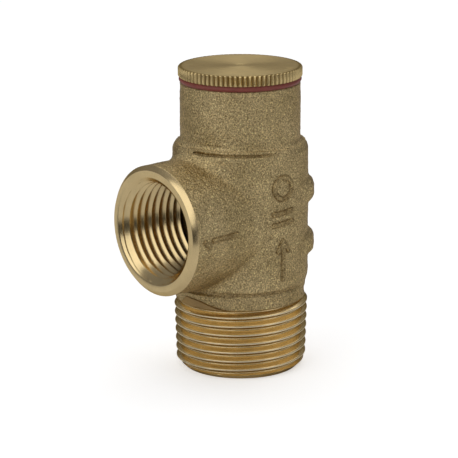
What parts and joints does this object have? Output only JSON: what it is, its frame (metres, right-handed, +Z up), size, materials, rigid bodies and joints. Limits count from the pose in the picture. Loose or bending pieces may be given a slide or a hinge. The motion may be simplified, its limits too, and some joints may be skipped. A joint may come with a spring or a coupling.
{
  "type": "pressure relief valve",
  "caption": "Angle-pattern pressure relief valve: male pipe inlet below, female pipe outlet at the side, cast brass body, red seal ring and knurled adjusting cap.",
  "frame": {"origin": "middle of the underside of the whole valve's box; the valve axis is vertical, 4.025 mm to the +X side of it", "axes": "+Z up along the valve axis, from the inlet face to the cap; -X along the outlet axis, out of the outlet face; +Y across both"},
  "size_m": [0.0376, 0.0278, 0.0613],
  "materials": {
    "cast_brass": "sand-cast, fine sparkling grain",
    "machined_brass": "turned, satin",
    "red_seal": "dull dark red",
    "black_rubber": "moulded, matte",
    "stainless_steel": "turned or drawn",
    "bearing_plastic": "moulded, matte"
  },
  "bodies": {
    "root": {"valve_body": "cast_brass", "seat_ring": "machined_brass", "seat_oring": "black_rubber", "cap_seal_ring": "red_seal"},
    "poppet": {"seat_disc": "black_rubber", "disc_holder": "machined_brass", "disc_retainer": "stainless_steel", "disc_screw": "stainless_steel", "valve_stem": "stainless_steel", "stem_pin": "stainless_steel", "lower_spring_seat": "stainless_steel", "pressure_spring": "stainless_steel"},
    "follower": {"spring_button": "machined_brass", "thrust_washer": "bearing_plastic"},
    "cap": {"adjusting_cap": "machined_brass", "stem_bush": "bearing_plastic", "cap_oring": "black_rubber"}
  },
  "joints": [
    {"name": "disc_lift", "type": "slide", "parent": "root", "child": "poppet", "axis": [0, 0, 1], "range_m": [0, 0.0025], "stiffness_N_per_m": 6000, "springref_m": -0.005, "deforming": ["pressure_spring"]},
    {"name": "cap_advance", "type": "slide", "parent": "root", "child": "follower", "axis": [0, 0, 1], "range_m": [0, 0.0015]},
    {"name": "cap_turn", "type": "hinge", "parent": "follower", "child": "cap", "pos_m": [0.00402, 0, 0.0603], "axis": [0, 0, 1], "range_deg": [0, 360]}
  ],
  "couplings": [
    {"joint": "cap_turn", "follows": "cap_advance", "rad_per_m": 4188.7}
  ]
}
